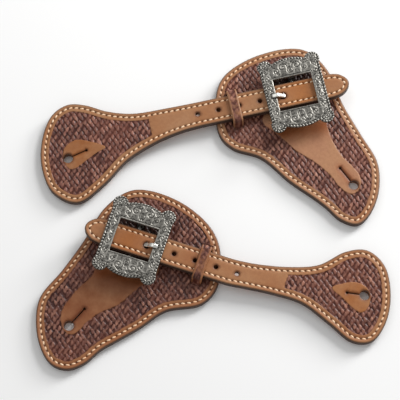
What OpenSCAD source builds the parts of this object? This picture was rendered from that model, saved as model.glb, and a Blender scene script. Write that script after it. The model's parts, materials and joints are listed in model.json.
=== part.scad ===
// A pair of western spur straps lying flat, right strap behind and left strap in front.
// Each strap is a two-ply buckle panel and a two-ply billet that ends in a paddle.
// The billet passes under a bridge of the panel, under the frame of a cart buckle
// and over its centre bar, and the tongue holds it through one of its holes.
// Millimetres, +Z up, z = 0 is the surface that the pair lies on.
// Each strap is drawn in its own frame: x runs along the billet towards its tip,
// y lies across the billet, and the buckle's centre bar crosses x = 0.

/* [Leather] */
// Thickness of the tooled upper ply
top_ply = 2.6; // [2.2:0.1:3.2]
// Thickness of the lining ply
lining_ply = 2.6; // [2.4:0.1:3.2]
// Width of the straight part of the billet
billet_w = 19; // [17:0.5:20]
// Gap between leather surfaces that slide on each other
slide_gap = 0.15; // [0.1:0.05:0.3]

/* [Seams] */
// Distance from the edge of the leather to the middle of the seam
seam_inset = 3.2; // [2.6:0.1:4]
// Width of the groove that sinks the seam
groove_w = 1.2; // [1:0.1:1.6]
// Depth of that groove
groove_d = 0.5; // [0.4:0.05:0.8]
// Width of the thread
thread_w = 0.8; // [0.6:0.1:0.9]
// Height of the thread
thread_h = 0.42; // [0.3:0.02:0.48]

/* [Holes] */
// Diameter of the buttonholes that go over the spur's buttons
button_d = 7.2; // [6:0.1:9]
// Width of the slit that lets a button into its hole
slit_w = 0.9; // [0.6:0.1:1.4]
// Diameter of the small hole that ends the slit
slit_end_d = 2; // [1.6:0.1:3]
// Diameter of the adjustment holes in the billet
adjust_d = 3.4; // [2.8:0.1:4.4]
// Distance between adjustment holes
adjust_pitch = 15.5; // [13:0.5:18]
// Diameter of the hole that the tongue stands in
tongue_hole_d = 5.2; // [5:0.1:6]

/* [Bridge] */
// Width of the bridge along the billet
bridge_w = 7.6; // [5:0.2:9]
// Thickness of the bridge
bridge_t = 2; // [1.6:0.1:2.4]

/* [Buckle] */
// Inside length of the frame, along the billet
opening_l = 28.4; // [27:0.2:30]
// Inside width of the frame, across the billet
opening_w = 25.2; // [24:0.2:27]
// Thickness of the frame
frame_t = 3; // [2.6:0.1:3.6]
// Diameter of the centre bar
bar_d = 2.6; // [2.4:0.1:2.8]
// Thickness of the chape leather
chape_t = 0.95; // [0.8:0.05:1]
// Width of the chape
chape_w = 16; // [14:0.5:17]
// Width of the tongue
tongue_w = 3.2; // [2.4:0.1:3.4]
// Thickness of the tongue
tongue_t = 2; // [1.8:0.1:2.1]

/* [Hidden] */

$fn = 48;
right = 0;
left = 1;
spline_steps = 6;
cut = 0.5; // how far a cutting solid runs past a face

// Where each strap's frame lies on the surface, and how far it is turned
place_at = [[60.54, 82.53], [-55.76, -31.27]];
place_turn = [12.2, -17.6];

// Outlines of the two panels, counter-clockwise from the corner below the billet
panel_points = [
    [[-61, -14], [-53.5, -29.5], [-34.5, -41.5], [-19.5, -62.5], [-5, -79], [2.5, -88.5], [9.5, -99],
     [20.5, -105.3], [31.5, -99.5], [42, -84], [46.5, -62], [40, -38], [33, -12], [29, 15], [18, 34],
     [0, 40], [-26, 37.5], [-47, 28], [-57, 12]],
    [[-65.5, -9], [-58.5, -27.5], [-36.5, -39.5], [-23, -56.5], [-10.5, -70.5], [-2, -80], [6, -93],
     [17, -100.7], [31, -98.3], [44.5, -82], [51, -58], [42.5, -33], [35.5, -9], [29.5, 19], [17, 37],
     [0, 42.5], [-24, 40], [-46, 30], [-59, 15]]
];
// Outlines of the two paddles, from the top of the neck round to its underside
paddle_points = [
    [[-95, 10], [-118, 11.3], [-136, 17], [-152, 26], [-165, 29], [-178, 22.5], [-187.5, 6],
     [-191.5, -14], [-187.5, -35], [-171, -47.4], [-150, -38], [-130, -23.5], [-108, -14.8],
     [-88, -10.6]],
    [[-88, 11.4], [-110, 16.6], [-129, 24.5], [-144, 39.5], [-159, 45.6], [-174, 38],
     [-183, 20], [-185.5, 0], [-180, -17], [-166, -21.6], [-148, -14.4], [-126, -6.2],
     [-104, -6], [-84, -8]]
];
neck_x = -70;                    // the billet is straight from here to the tip
tip_x = [40, 36.5];
tip_length = 15;
tip_shoulder = [7, 0.86];        // behind the tip, and the share of the half width there
tip_nose = [1.8, 0.46];
straight_run = 8;                // straight edge that steers each end of a curve

panel_hole = [[25.4, -75.6], [24.8, -70.3]];
panel_slit_end = [[19, -61], [18.4, -55.5]];
paddle_hole = [[-171.6, -12.3], [-165.8, 13.2]];
paddle_slit_end = [[-157.5, -9.2], [-153.5, 11]];
adjust_x = [-26.5, -29.5];       // the free hole nearest the buckle
adjust_count = 4;

// The bridge over the billet: a flat top on two sloping legs
bridge_x = [-45.5, -50.3];
bridge_gap = 0.25;               // between the billet's face and the bridge
foot_y = billet_w / 2 + 6.4;     // where the bridge leaves the upper ply
leg_foot = 3.6;                  // inner foot of a leg, from the billet's edge
leg_head = 0.6;                  // inner head of a leg, from the billet's edge
shoulder = [2.6, 1.4, -1];       // outer corners of a leg's head, from the billet's edge

// Heights of the billet: it lies on the panel's rim and on its own far end
panel_t = top_ply + lining_ply;
rim_x = [-62, -66];
far_x = [-191.5, -186];
billet_t = top_ply + lining_ply;
rim_z = panel_t + slide_gap;
tilt = [for (s = [right, left]) asin((rim_z - 0.05) / (rim_x[s] - far_x[s]))];
billet_z = [for (s = [right, left]) rim_z - rim_x[s] * tan(tilt[s])];

// Buckle heights, measured from the billet's underside in the billet's own frame
pivot_gap = 0.05;
bar_r = bar_d / 2;
loop_r = bar_r + pivot_gap + chape_t;      // outside of every loop round the bar
bar_z = -loop_r - 0.1;
rock_gap = 0.6;                            // lets the frame rock on its bar
frame_z = billet_t + rock_gap;
lug_t = 2.8;
lug_gap = 0.1;                             // between the opening's edge and a lug
lug_y = opening_w / 2 + lug_gap;
notch_depth = 1.3;
notch_w = tongue_w + 0.8;
notch_run = 0.9;                           // beyond the tongue's point
notch_gap = 0.05;                          // under the tongue, on the notch's floor

// Window in the panel's upper ply, round the bar, the lugs and the chape's tail
window_x = loop_r + 1.1;
window_y = lug_y + lug_t + 0.8;
tail_l = 12;
tail_gap_x = 1;
tail_gap_y = 0.6;
tail_t = 2 * chape_t;
rivet_x = 8;
rivet_y = 4.5;
rivet_r = 1.2;
rivet_head_r = 2.1;
rivet_head_t = 0.6;

// Frame outline: a bowed rectangle with a round lobe on each corner
lobe_x = 17.6;
lobe_y = 23;
lobe_r = 5.6;
side_x = 22.2;
side_y = 24.2;
bow_half = 14;
bow_rise = 3.6;

// Tongue: a straight shank from the bar up through the hole, bent flat at its end
shank_rise = 38.7;                         // angle of the shank at rest
bend_x = -11.6;
point_x = -17.4;
tongue_hole_x = -9.3;
slot_w = tongue_w + 0.9;                   // the slot that the tongue lies in, under its hole
slot_end_x = 0.6;

// Colours
tooled_brown = "#5b332c";
lining_tan = "#a9734a";
thread_cream = "#f0d3ac";
strap_tan = "#b0713f";
silver = "#a3a49f";
steel = "#c9c9c4";
chape_brown = "#8a5a35";
brass = "#b99a5b";

// ---- points and curves ----

// One point of a curve through b and c, shaped by its neighbours a and d
function between(a, b, c, d, t) =
    0.5 * (2 * b + (c - a) * t + (2 * a - 5 * b + 4 * c - d) * t * t
    + (3 * b - a - 3 * c + d) * t * t * t);

// A closed smooth curve through the points
function closed_curve(p) = let (n = len(p)) [
    for (i = [0:n - 1]) for (k = [0:spline_steps - 1])
        between(p[(i + n - 1) % n], p[i], p[(i + 1) % n], p[(i + 2) % n], k / spline_steps)
];

// A smooth curve through all points but the first and the last, which only steer it
function open_curve(p) = [
    for (i = [1:len(p) - 3]) for (k = [0:spline_steps - (i == len(p) - 3 ? 0 : 1)])
        between(p[i - 1], p[i], p[i + 1], p[i + 2], k / spline_steps)
];

// A counter-clockwise outline moved inwards by d
function inset(p, d) = let (n = len(p)) [
    for (i = [0:n - 1])
        let (run = p[(i + 1) % n] - p[(i + n - 1) % n])
        p[i] + d * [-run[1], run[0]] / norm(run)
];

function panel_outline(s, d = 0) = inset(closed_curve(panel_points[s]), d);

// The paddle end, then along the lower edge, round the tip and back
function billet_outline(s, d = 0) = let (
    h = billet_w / 2,
    paddle = open_curve(concat([[neck_x + 2 * straight_run, h], [neck_x, h]], paddle_points[s],
        [[neck_x, -h], [neck_x + 2 * straight_run, -h]])),
    x = tip_x[s],
    half = [[x - tip_length - straight_run, 1], [x - tip_length, 1],
        [x - tip_shoulder[0], tip_shoulder[1]], [x - tip_nose[0], tip_nose[1]]],
    tip = open_curve(concat(
        [for (p = half) [p[0], -h * p[1]]], [[x, 0]],
        [for (i = [len(half) - 1:-1:0]) [half[i][0], h * half[i][1]]]))
) inset(concat(paddle, tip), d);

// ---- shared shapes ----

module placed(s) {
    translate([place_at[s][0], place_at[s][1], 0])
        rotate(place_turn[s])
            mirror([s, 0, 0])
                children();
}

// The frame of the tilted billet and of the buckle on it
module on_billet(s) {
    placed(s)
        translate([0, 0, billet_z[s]])
            rotate([0, -tilt[s], 0])
                children();
}

// A solid along y, drawn from an outline in x and z
module across(w) {
    rotate([90, 0, 0])
        linear_extrude(w, center = true)
            children();
}

module slab(points, z, h) {
    translate([0, 0, z])
        linear_extrude(h)
            polygon(points);
}

module band(outer, inner, z, h) {
    translate([0, 0, z])
        linear_extrude(h)
            difference() {
                polygon(outer);
                polygon(inner);
            }
}

// Round hole with a slit that runs from it to a small end hole
module buttonhole(hole, slit_end, t) {
    run = slit_end - hole;
    translate([hole[0], hole[1], -cut]) {
        cylinder(d = button_d, h = t + 2 * cut);
        rotate(atan2(run[1], run[0]))
            translate([0, -slit_w / 2, 0])
                cube([norm(run), slit_w, t + 2 * cut]);
        translate([run[0], run[1], 0])
            cylinder(d = slit_end_d, h = t + 2 * cut);
    }
}

// ---- panel ----

module panel_ply(s, z, t, groove_z) {
    difference() {
        slab(panel_outline(s), z, t);
        band(panel_outline(s, seam_inset - groove_w / 2), panel_outline(s, seam_inset + groove_w / 2),
            groove_z, groove_d + cut);
        buttonhole(panel_hole[s], panel_slit_end[s], panel_t);
    }
}

// Height of the billet's underside where the bridge crosses it
function bridge_floor(s) = billet_z[s] + (bridge_x[s] + bridge_w / 2) * tan(tilt[s]);

// Points mirrored to the other side, in reverse order
function mirrored(p) = [for (i = [len(p) - 1:-1:0]) [-p[i][0], p[i][1]]];

// The bridge's cross-section: its outside from foot to foot, then its inside
function bridge_section(s) = let (
    h = billet_w / 2,
    under = bridge_floor(s) + billet_t + bridge_gap,
    outside = [[foot_y, lining_ply], [foot_y, panel_t], [h + shoulder[0], under + bridge_t * 0.1],
        [h + shoulder[1], under + bridge_t * 0.75], [h + shoulder[2], under + bridge_t]],
    inner = [[h + leg_head, under], [h + leg_foot, panel_t], [h + leg_foot, lining_ply]]
) concat(outside, mirrored(outside), mirrored(inner), inner);

// The strip between two cuts in the upper ply, raised over the billet
module bridge(s) {
    color(tooled_brown)
        placed(s)
            translate([bridge_x[s] - bridge_w / 2, 0, 0])
                rotate([90, 0, 90])
                    linear_extrude(bridge_w)
                        polygon(bridge_section(s));
}

// A rectangular window through the upper ply
module window(x, y, length, width) {
    translate([x, y - width / 2, lining_ply - cut])
        cube([length, width, top_ply + 2 * cut]);
}

module panel_top(s) {
    color(tooled_brown)
        placed(s)
            difference() {
                panel_ply(s, lining_ply, top_ply, panel_t - groove_d);
                window(bridge_x[s] - bridge_w / 2, 0, bridge_w, 2 * foot_y);
                window(-window_x, 0, 2 * window_x, 2 * window_y);
                window(0, 0, tail_l + tail_gap_x, chape_w + 2 * tail_gap_y);
            }
}

module panel_lining(s) {
    color(lining_tan)
        placed(s)
            difference() {
                panel_ply(s, 0, lining_ply, -cut);
                for (y = [-rivet_y, rivet_y])
                    translate([rivet_x, y, -cut])
                        cylinder(r = rivet_r, h = lining_ply + 2 * cut);
            }
}

module panel_thread(s, z) {
    color(thread_cream)
        placed(s)
            band(panel_outline(s, seam_inset - thread_w / 2),
                panel_outline(s, seam_inset + thread_w / 2), z, thread_h);
}

module panel_seam(s) {
    panel_thread(s, panel_t - groove_d);
}

module panel_back_seam(s) {
    panel_thread(s, groove_d - thread_h);
}

// ---- chape ----

// Centre of the bar, in the strap's frame
function bar_at(s) = [-bar_z * sin(tilt[s]), billet_z[s] + bar_z * cos(tilt[s])];

module chape(s) {
    color(chape_brown)
        placed(s)
            difference() {
                union() {
                    translate([bar_at(s)[0], chape_w / 2, bar_at(s)[1]])
                        rotate([90, 0, 0])
                            cylinder(r = loop_r, h = chape_w);
                    translate([0.6, -chape_w / 2, lining_ply])
                        cube([tail_l - 0.6, chape_w, tail_t]);
                }
                translate([bar_at(s)[0], chape_w / 2 + cut, bar_at(s)[1]])
                    rotate([90, 0, 0])
                        cylinder(r = bar_r + pivot_gap, h = chape_w + 2 * cut);
                translate([-loop_r - cut, -tongue_w / 2 - 0.7, 0])
                    cube([2 * loop_r + 1.6 + cut, tongue_w + 1.4, 3 * panel_t]);
                for (y = [-rivet_y, rivet_y])
                    translate([rivet_x, y, 0])
                        cylinder(r = rivet_r, h = 2 * panel_t);
            }
}

module chape_rivets(s) {
    color(brass)
        placed(s)
            for (y = [-rivet_y, rivet_y])
                translate([rivet_x, y, 0]) {
                    translate([0, 0, 0.1])
                        cylinder(r = rivet_r, h = lining_ply + tail_t);
                    translate([0, 0, lining_ply + tail_t])
                        cylinder(r = rivet_head_r, h = rivet_head_t);
                }
}

// ---- buckle ----

// A strip with one edge bowed outwards, for the side at distance y
module bowed_side(half, y, rise) {
    r = (half * half + rise * rise) / (2 * rise);
    intersection() {
        translate([0, y + rise - r])
            circle(r, $fn = 180);
        translate([-half, 0])
            square([2 * half, y + rise + 1]);
    }
}

module frame_outline() {
    difference() {
        union() {
            square([2 * side_x, 2 * side_y], center = true);
            for (turn = [0, 180])
                rotate(turn)
                    bowed_side(bow_half, side_y, bow_rise);
            for (x = [-lobe_x, lobe_x])
                for (y = [-lobe_y, lobe_y])
                    translate([x, y])
                        circle(lobe_r);
        }
        square([opening_l, opening_w], center = true);
    }
}

module buckle_frame(s) {
    color(silver)
        on_billet(s)
            difference() {
                union() {
                    translate([0, 0, frame_z])
                        linear_extrude(frame_t)
                            frame_outline();
                    for (side = [-1, 1])
                        translate([0, side * (lug_y + lug_t / 2), 0]) {
                            across(lug_t)
                                translate([0, bar_z])
                                    circle(loop_r);
                            translate([-loop_r, -lug_t / 2, bar_z])
                                cube([2 * loop_r, lug_t, frame_z - bar_z + 0.5]);
                        }
                }
                across(4 * lug_y)
                    translate([0, bar_z])
                        circle(bar_r);
                translate([point_x - notch_run, -notch_w / 2, frame_z + frame_t - notch_depth])
                    cube([notch_run - point_x - opening_l / 2 + 1, notch_w, frame_t]);
            }
}

module buckle_bar(s) {
    color(steel)
        on_billet(s)
            across(2 * (lug_y + lug_t))
                translate([0, bar_z])
                    circle(bar_r);
}

// Side view of the tongue at rest
module tongue_outline() {
    t = tongue_t / 2;
    notch_z = frame_z + frame_t - notch_depth + notch_gap;
    side = t * [sin(shank_rise), cos(shank_rise)];
    bend = [bend_x, bar_z - bend_x * tan(shank_rise)];
    point = [point_x, notch_z + t];
    polygon([
        [0, bar_z] - side, bend - side + [0.9, -0.7], [bend[0] - 2.2, notch_z],
        [point[0] + 0.6, notch_z], point + [0, -0.3], point + [0.2, 0.5], [point[0] + 1.4, notch_z + 2 * t],
        [bend[0] - 1.6, notch_z + 2 * t + 0.2], bend + side + [0.1, 0.15], [0, bar_z] + side
    ]);
}

module buckle_tongue(s) {
    color(steel)
        on_billet(s)
            difference() {
                union() {
                    across(tongue_w)
                        tongue_outline();
                    across(tongue_w)
                        translate([0, bar_z])
                            circle(loop_r);
                }
                across(tongue_w + 2 * cut)
                    translate([0, bar_z])
                        circle(bar_r + pivot_gap);
            }
}

// ---- billet ----

// Round hole at the top that opens into a long slot underneath, where the tongue lies flat
module tongue_hole() {
    r = tongue_hole_d / 2;
    translate([tongue_hole_x, 0, -cut])
        cylinder(d = tongue_hole_d, h = billet_t + 2 * cut);
    across(slot_w)
        polygon([[tongue_hole_x - r, -cut], [slot_end_x, -cut], [tongue_hole_x + r, billet_t + cut],
            [tongue_hole_x - r, billet_t + cut]]);
}

module billet_ply(s, z, t, groove_z) {
    difference() {
        slab(billet_outline(s), z, t);
        band(billet_outline(s, seam_inset - groove_w / 2),
            billet_outline(s, seam_inset + groove_w / 2), groove_z, groove_d + cut);
        buttonhole(paddle_hole[s], paddle_slit_end[s], billet_t);
        for (i = [0:adjust_count - 1])
            translate([adjust_x[s] - i * adjust_pitch, 0, -cut])
                cylinder(d = adjust_d, h = billet_t + 2 * cut);
        tongue_hole();
    }
}

module billet_top(s) {
    color(strap_tan)
        on_billet(s)
            billet_ply(s, lining_ply, top_ply, billet_t - groove_d);
}

module billet_lining(s) {
    color(lining_tan)
        on_billet(s)
            billet_ply(s, 0, lining_ply, -cut);
}

module billet_thread(s, z) {
    color(thread_cream)
        on_billet(s)
            band(billet_outline(s, seam_inset - thread_w / 2),
                billet_outline(s, seam_inset + thread_w / 2), z, thread_h);
}

module billet_seam(s) {
    billet_thread(s, billet_t - groove_d);
}

module billet_back_seam(s) {
    billet_thread(s, groove_d - thread_h);
}

panel_top(right);  // right_panel_top
bridge(right);  // right_bridge
panel_lining(right);  // right_panel_lining
panel_seam(right);  // right_panel_seam
panel_back_seam(right);  // right_panel_back_seam
chape(right);  // right_chape
chape_rivets(right);  // right_chape_rivets
buckle_frame(right);  // right_buckle_frame
buckle_bar(right);  // right_buckle_bar
buckle_tongue(right);  // right_buckle_tongue
billet_top(right);  // right_billet_top
billet_lining(right);  // right_billet_lining
billet_seam(right);  // right_billet_seam
billet_back_seam(right);  // right_billet_back_seam
panel_top(left);  // left_panel_top
bridge(left);  // left_bridge
panel_lining(left);  // left_panel_lining
panel_seam(left);  // left_panel_seam
panel_back_seam(left);  // left_panel_back_seam
chape(left);  // left_chape
chape_rivets(left);  // left_chape_rivets
buckle_frame(left);  // left_buckle_frame
buckle_bar(left);  // left_buckle_bar
buckle_tongue(left);  // left_buckle_tongue
billet_top(left);  // left_billet_top
billet_lining(left);  // left_billet_lining
billet_seam(left);  // left_billet_seam
billet_back_seam(left);  // left_billet_back_seam
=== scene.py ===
"""A pair of tooled western spur straps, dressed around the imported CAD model.

Each strap has its own frame, taken from its joints: u runs along the billet to its tip, v lies
across it, and the buckle's bar crosses u = 0. Shapes are worked out in millimetres in that frame
and placed in the row frame in metres.
"""
import json
import math

import bmesh
import bpy
import numpy as np
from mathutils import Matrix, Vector
from mathutils.geometry import delaunay_2d_cdt
from mathutils.kdtree import KDTree


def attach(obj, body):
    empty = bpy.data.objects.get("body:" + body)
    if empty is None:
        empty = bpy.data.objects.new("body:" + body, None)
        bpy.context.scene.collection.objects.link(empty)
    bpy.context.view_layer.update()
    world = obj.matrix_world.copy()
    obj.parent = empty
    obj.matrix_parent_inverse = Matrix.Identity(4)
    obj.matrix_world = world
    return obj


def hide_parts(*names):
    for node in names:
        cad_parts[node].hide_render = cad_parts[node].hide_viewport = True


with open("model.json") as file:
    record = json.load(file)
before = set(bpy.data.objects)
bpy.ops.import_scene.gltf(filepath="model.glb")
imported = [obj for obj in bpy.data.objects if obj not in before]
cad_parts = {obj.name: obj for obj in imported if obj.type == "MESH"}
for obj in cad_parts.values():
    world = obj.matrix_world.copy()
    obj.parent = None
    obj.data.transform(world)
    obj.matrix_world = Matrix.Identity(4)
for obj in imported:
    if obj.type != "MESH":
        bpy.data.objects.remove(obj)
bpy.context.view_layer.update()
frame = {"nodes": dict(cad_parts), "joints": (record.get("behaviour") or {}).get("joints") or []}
MM = 0.001
RIGHT, LEFT = 0, 1
SIDES = ("right", "left")

# ---- sizes shared with the CAD, in millimetres ----

PLY = 2.6                        # thickness of each of the two plies
PANEL_T = 2 * PLY
BILLET_T = 2 * PLY
BILLET_W = 19
SEAM_INSET = 3.2
BUTTON_R, SLIT_W, SLIT_END_R = 3.6, 0.9, 1.0
ADJUST_R, ADJUST_PITCH, ADJUST_COUNT = 1.7, 15.5, 4
ADJUST_X = (-26.5, -29.5)
TONGUE_HOLE_X, TONGUE_HOLE_R = -9.3, 2.6
TONGUE_SLOT_X = (-3.2, 0.4)      # front end of the tongue's slot, at mid-thickness and underneath
BRIDGE_X, BRIDGE_W, BRIDGE_T, BRIDGE_GAP = (-45.5, -50.3), 7.6, 2.0, 0.25
FOOT_Y = BILLET_W / 2 + 6.4      # where the bridge leaves the upper ply
WINDOW_X, WINDOW_Y = 3.4, 16.3
TAIL_X, TAIL_Y = 13.0, 8.6
RIVET_X, RIVET_Y, RIVET_R = 8, 4.5, 1.25
BAR_Z, BAR_R, LOOP_R = -2.4, 1.3, 2.3
FRAME_Z, FRAME_T = 5.8, 3.0
OPENING = (14.2, 12.6)           # half length and half width of the buckle's opening
SIDE_X, SIDE_Y, BOW_HALF, BOW_RISE = 22.2, 24.2, 14, 3.6
LOBE_X, LOBE_Y, LOBE_R = 17.6, 23, 5.6
LUG_Y = (12.75, 15.5)
NOTCH_W, NOTCH_DEPTH, NOTCH_RUN = 4.0, 1.3, 0.9
TONGUE_W, TONGUE_T = 3.2, 2.0
SHANK_RISE, BEND_X, POINT_X = math.radians(38.7), -11.6, -17.4
NECK_X, TIP_X, TIP_LENGTH, STRAIGHT_RUN = -70, (40, 36.5), 15, 8

PANEL_POINTS = (
    [(-61, -14), (-53.5, -29.5), (-34.5, -41.5), (-19.5, -62.5), (-5, -79), (2.5, -88.5), (9.5, -99),
     (20.5, -105.3), (31.5, -99.5), (42, -84), (46.5, -62), (40, -38), (33, -12), (29, 15), (18, 34),
     (0, 40), (-26, 37.5), (-47, 28), (-57, 12)],
    [(-65.5, -9), (-58.5, -27.5), (-36.5, -39.5), (-23, -56.5), (-10.5, -70.5), (-2, -80), (6, -93),
     (17, -100.7), (31, -98.3), (44.5, -82), (51, -58), (42.5, -33), (35.5, -9), (29.5, 19), (17, 37),
     (0, 42.5), (-24, 40), (-46, 30), (-59, 15)],
)
PADDLE_POINTS = (
    [(-95, 10), (-118, 11.3), (-136, 17), (-152, 26), (-165, 29), (-178, 22.5), (-187.5, 6),
     (-191.5, -14), (-187.5, -35), (-171, -47.4), (-150, -38), (-130, -23.5), (-108, -14.8),
     (-88, -10.6)],
    [(-88, 11.4), (-110, 16.6), (-129, 24.5), (-144, 39.5), (-159, 45.6), (-174, 38),
     (-183, 20), (-185.5, 0), (-180, -17), (-166, -21.6), (-148, -14.4), (-126, -6.2),
     (-104, -6), (-84, -8)],
)
PANEL_HOLE = ((25.4, -75.6), (24.8, -70.3))
PANEL_SLIT_END = ((19, -61), (18.4, -55.5))
PADDLE_HOLE = ((-171.6, -12.3), (-165.8, 13.2))
PADDLE_SLIT_END = ((-157.5, -9.2), (-153.5, 11))

# Smooth islands left inside the tooled fields
PANEL_ISLAND = (
    [(-27.5, -15), (-24, -20.5), (-17.8, -27.5), (-9.6, -40.4), (2.2, -52.9), (10.5, -64.6),
     (14, -73.3), (18.7, -79.8), (23.5, -82.1), (29, -79), (31.4, -71), (28.7, -62.6),
     (22, -51.3), (18.2, -36.4), (17.6, -22.2), (16, -8), (-10, -4), (-25, -9)],
    [(-22, -16), (-17, -24), (-13, -29.2), (-8.8, -36.3), (-2.8, -45.9), (7.1, -54.8),
     (13.5, -63.5), (16.6, -71), (20.4, -75.6), (26, -75.3), (31, -69.5), (33, -61.8),
     (31.2, -53), (27, -42), (22.1, -32.6), (19.9, -22), (17, -8), (-10, -4), (-21, -9)],
)
PADDLE_ISLAND = (
    [(-143.5, -9.5), (-150.5, -12.8), (-159.2, -17), (-168.2, -21.3), (-173, -19.5),
     (-175, -12.5), (-172.5, -4), (-164.1, 0.3), (-155.5, -2.2)],
    [(-142.5, 11), (-149.6, 17), (-157.4, 20.3), (-165.5, 19), (-170, 13.5), (-170.4, 5),
     (-166.1, 0), (-158.2, 2.5), (-151.3, 6.4)],
)
FIELD_END = (-108.6, -110.6)     # where the paddle's tooled field is cut off across the neck

# ---- looks, in millimetres ----

OUTLINE_STEP = 1.1
BORDER_W = 5.9                   # smooth border round the tooled field
FIELD_SINK = 0.55
STAMP_H = 0.75
STAMP_W, STAMP_L = 4.1, 5.8      # spacing of the stamp's crescents across and along
STAMP_TURN = (math.radians(-12.2), math.radians(-17.6))
FIELD_GRID = 0.5
PLAIN_GRID = 2.0
ROUND, BACK_ROUND = 1.1, 0.9     # rounding of the leather's edges on the face and the lining
STITCH_PITCH, STITCH_L, STITCH_R = 4.2, 3.0, 0.56
STITCH_SLANT = 0.26              # how far each end of a stitch lies off the seam's line
STITCH_DROP, STITCH_RISE = 0.52, 0.2   # how deep the stitches lie, and how much they arch
BACK_SEAM_Z = 0.68               # height of the stitches on the lining side
SEAM_STEP = 0.6
AWL_R, AWL_D = 0.62, 0.45
GROOVE_D, GROOVE_HALF = 0.5, 0.72      # the furrow that the stitches lie in
BACK_GROOVE_D, BACK_GROOVE_HALF = 0.42, 0.6
PLY_INSET = 0.14                 # the edge draws in a little between the two plies
FIELD_IN, FIELD_FULL = BORDER_W - 0.15, BORDER_W + 0.35   # where the tooled field starts
SHORE = 0.25                     # half width of the step round an island
HOLE_CLEAR = 0.9                 # how far the drawn points stay from a hole's edge
RINGS = (0.12, 0.4, 0.8, 1.3, 2.0, 2.6, 2.9, 3.2, 3.5, 3.8, 4.6, 5.3, 5.7, 6.0, 6.3, 6.7)
BACK_RINGS = (0.12, 0.4, 0.9, 1.8, 2.6, 3.2, 3.8, 5.5)

# ---- curves in a strap's frame ----


def between(a, b, c, d, t):
    """One point of a curve through b and c, shaped by its neighbours a and d."""
    return 0.5 * (2 * b + (c - a) * t + (2 * a - 5 * b + 4 * c - d) * t ** 2
                  + (3 * b - a - 3 * c + d) * t ** 3)


def curve(points, closed=True, steps=14):
    """A smooth curve. An open one uses its first and last points only to steer it."""
    p = np.array(points, float)
    n = len(p)
    first = range(n) if closed else range(1, n - 2)
    out = [between(p[i - 1], p[i], p[(i + 1) % n], p[(i + 2) % n], k / steps)
           for i in first for k in range(steps)]
    return np.array(out if closed else out + [p[-2]])


def resample(loop, step):
    """The same closed loop with evenly spaced points."""
    ring = np.vstack([loop, loop[:1]])
    along = np.concatenate([[0], np.cumsum(np.linalg.norm(np.diff(ring, axis=0), axis=1))])
    count = max(6, round(along[-1] / step))
    at = np.arange(count) * along[-1] / count
    return np.stack([np.interp(at, along, ring[:, k]) for k in (0, 1)], 1)


def inset(loop, d):
    """A counter-clockwise loop moved inwards by d."""
    run = np.roll(loop, -1, 0) - np.roll(loop, 1, 0)
    run /= np.linalg.norm(run, axis=1)[:, None]
    return loop + d * np.stack([-run[:, 1], run[:, 0]], 1)


def normals(path):
    """Unit vectors to the left of an open path, at each of its points."""
    run = np.gradient(path, axis=0)
    run /= np.linalg.norm(run, axis=1)[:, None]
    return np.stack([-run[:, 1], run[:, 0]], 1)


def nearest(points, line, closed=True):
    """Each point's distance to a line, and how far along the line its nearest place is."""
    a = line if closed else line[:-1]
    b = np.roll(line, -1, 0) if closed else line[1:]
    run = b - a
    length = np.linalg.norm(run, axis=1) + 1e-12
    start = np.concatenate([[0], np.cumsum(length)[:-1]])
    distance, along = [], []
    for part in np.array_split(points, max(1, len(points) // 4000)):
        rel = part[:, None] - a
        t = np.clip((rel * run).sum(2) / length ** 2, 0, 1)
        gap = ((rel - t[..., None] * run) ** 2).sum(2)
        k = gap.argmin(1)
        row = np.arange(len(part))
        distance.append(np.sqrt(gap[row, k]))
        along.append(start[k] + t[row, k] * length[k])
    return np.concatenate(distance), np.concatenate(along)


def inside(points, loop):
    """Which points lie inside a closed loop."""
    a, b = loop, np.roll(loop, -1, 0)
    flat = np.where(b[:, 1] == a[:, 1], 1e-12, b[:, 1] - a[:, 1])
    out = []
    for part in np.array_split(points, max(1, len(points) // 4000)):
        x, y = part[:, :1], part[:, 1:]
        crosses = (a[:, 1] > y) != (b[:, 1] > y)
        left = x < (b[:, 0] - a[:, 0]) * (y - a[:, 1]) / flat + a[:, 0]
        out.append((crosses & left).sum(1) % 2 == 1)
    return np.concatenate(out)


def signed(points, loop):
    """Distance to a closed loop, positive inside it."""
    return nearest(points, loop)[0] * np.where(inside(points, loop), 1, -1)


def smooth(x, low, high):
    """0 below low, 1 above high, and a soft step between them."""
    t = np.clip((x - low) / (high - low), 0, 1)
    return t * t * (3 - 2 * t)


def hump(x, width):
    """A bell curve, 1 where x is 0."""
    return np.exp(-(x / width) ** 2)


def circle(x, y, r, count=26):
    """Points round a circle."""
    a = np.arange(count) * 2 * math.pi / count
    return np.stack([x + r * np.cos(a), y + r * np.sin(a)], 1)


def rectangle(x0, x1, y0, y1, step=1.6):
    return resample_corners([(x0, y0), (x1, y0), (x1, y1), (x0, y1)], step)


def resample_corners(corners, step):
    """A closed polygon with points along its sides and its corners kept."""
    out = []
    for a, b in zip(corners, corners[1:] + corners[:1]):
        n = max(1, round(math.dist(a, b) / step))
        out += [(a[0] + (b[0] - a[0]) * k / n, a[1] + (b[1] - a[1]) * k / n) for k in range(n)]
    return np.array(out, float)


def keyhole(hole, end):
    """A buttonhole: a round hole and the slit that runs from it to a small round end."""
    hole, end = np.array(hole, float), np.array(end, float)
    turn = math.atan2(*(end - hole)[::-1])
    wide = math.asin(SLIT_W / 2 / BUTTON_R)
    narrow = math.asin(SLIT_W / 2 / SLIT_END_R)
    big = np.linspace(turn + wide, turn + 2 * math.pi - wide, 30)
    small = np.linspace(turn + math.pi + narrow, turn + 3 * math.pi - narrow, 12)
    arc = [hole + BUTTON_R * np.array([math.cos(a), math.sin(a)]) for a in big]
    tip = [end + SLIT_END_R * np.array([math.cos(a), math.sin(a)]) for a in small]
    there = [arc[-1] + (tip[0] - arc[-1]) * k / 7 for k in range(1, 7)]
    back = [tip[-1] + (arc[0] - tip[-1]) * k / 7 for k in range(1, 7)]
    return np.array(arc + there + tip + back)


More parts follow.
